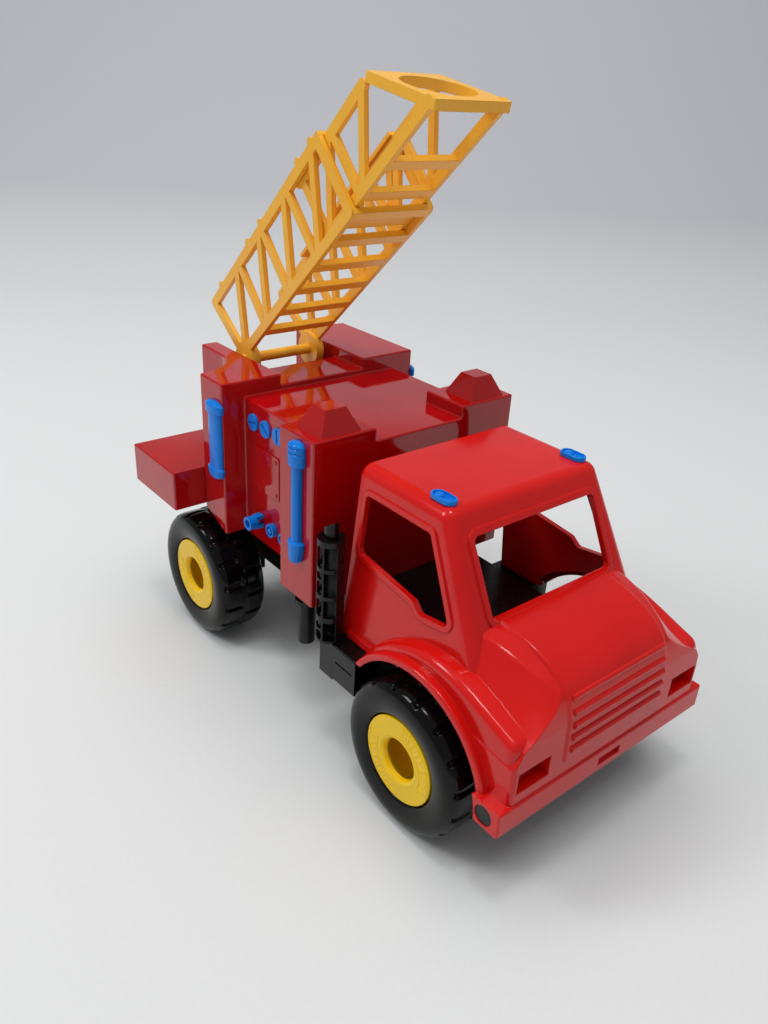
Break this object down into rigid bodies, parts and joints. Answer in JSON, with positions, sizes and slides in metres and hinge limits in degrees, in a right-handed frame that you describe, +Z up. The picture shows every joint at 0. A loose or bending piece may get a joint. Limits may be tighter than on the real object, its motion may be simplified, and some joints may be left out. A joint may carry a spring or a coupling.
{
  "type": "toy fire engine",
  "caption": "Toy fire engine with a tilting bonneted cab, free-rolling chunky wheels, a hollow body with a rear standing step, and a lifting ladder whose ringed section slides out.",
  "frame": {"origin": "middle of the footprint's bounding box at ground level, ladder raised and extended as at rest", "axes": "+X towards the cab's bumper, +Y to the truck's left, +Z up"},
  "size_m": [0.3682, 0.191, 0.3729],
  "materials": {
    "tyre": "glossy black moulded plastic",
    "hub_plastic": "glossy yellow moulded plastic",
    "axle_steel": "drawn steel rod",
    "chassis_plastic": "black moulded plastic, semi-matt",
    "cab_plastic": "bright red moulded plastic",
    "body_plastic": "deep red moulded plastic, high gloss",
    "trim_plastic": "blue moulded plastic",
    "ladder_plastic": "amber yellow moulded plastic"
  },
  "bodies": {
    "truck": {"axle_front": "axle_steel", "axle_rear": "axle_steel", "chassis_frame": "chassis_plastic", "air_tank_left": "chassis_plastic", "air_tank_right": "chassis_plastic", "exhaust_stack_left": "chassis_plastic", "exhaust_stack_right": "chassis_plastic", "step_box_left": "chassis_plastic", "step_box_right": "chassis_plastic", "body_shell": "body_plastic", "tail_step": "body_plastic", "handrail_front_left": "trim_plastic", "handrail_front_right": "trim_plastic", "handrail_rear_left": "trim_plastic", "handrail_rear_right": "trim_plastic", "gauges_left": "trim_plastic", "gauges_right": "trim_plastic", "hose_outlets_left": "trim_plastic", "hose_outlets_right": "trim_plastic"},
    "cab": {"cab_shell": "cab_plastic", "roof_lamps": "trim_plastic"},
    "ladder_lower": {"ladder_main": "ladder_plastic"},
    "ladder_upper": {"ladder_extension": "ladder_plastic"},
    "wheel_front_left": {"tyre_front_left": "tyre", "hub_front_left": "hub_plastic"},
    "wheel_front_right": {"tyre_front_right": "tyre", "hub_front_right": "hub_plastic"},
    "wheel_rear_left": {"tyre_rear_left": "tyre", "hub_rear_left": "hub_plastic"},
    "wheel_rear_right": {"tyre_rear_right": "tyre", "hub_rear_right": "hub_plastic"}
  },
  "joints": [
    {"name": "wheel_front_left", "type": "hinge", "parent": "truck", "child": "wheel_front_left", "pos_m": [0.11207, 0.0775, 0.045], "axis": [0, 1, 0], "continuous": true},
    {"name": "wheel_front_right", "type": "hinge", "parent": "truck", "child": "wheel_front_right", "pos_m": [0.11207, -0.0665, 0.045], "axis": [0, 1, 0], "continuous": true},
    {"name": "wheel_rear_left", "type": "hinge", "parent": "truck", "child": "wheel_rear_left", "pos_m": [-0.11743, 0.0775, 0.045], "axis": [0, 1, 0], "continuous": true},
    {"name": "wheel_rear_right", "type": "hinge", "parent": "truck", "child": "wheel_rear_right", "pos_m": [-0.11743, -0.0665, 0.045], "axis": [0, 1, 0], "continuous": true},
    {"name": "cab_tilt", "type": "hinge", "parent": "truck", "child": "cab", "pos_m": [0.17207, 0.0055, 0.0542], "axis": [0, 1, 0], "range_deg": [0, 50]},
    {"name": "ladder_lift", "type": "hinge", "parent": "truck", "child": "ladder_lower", "pos_m": [-0.13963, 0.0055, 0.19], "axis": [0, -1, 0], "range_deg": [-43.2, 27]},
    {"name": "ladder_extend", "type": "slide", "parent": "ladder_lower", "child": "ladder_upper", "axis": [0.729, 0, 0.6845], "range_m": [-0.075, 0]}
  ]
}
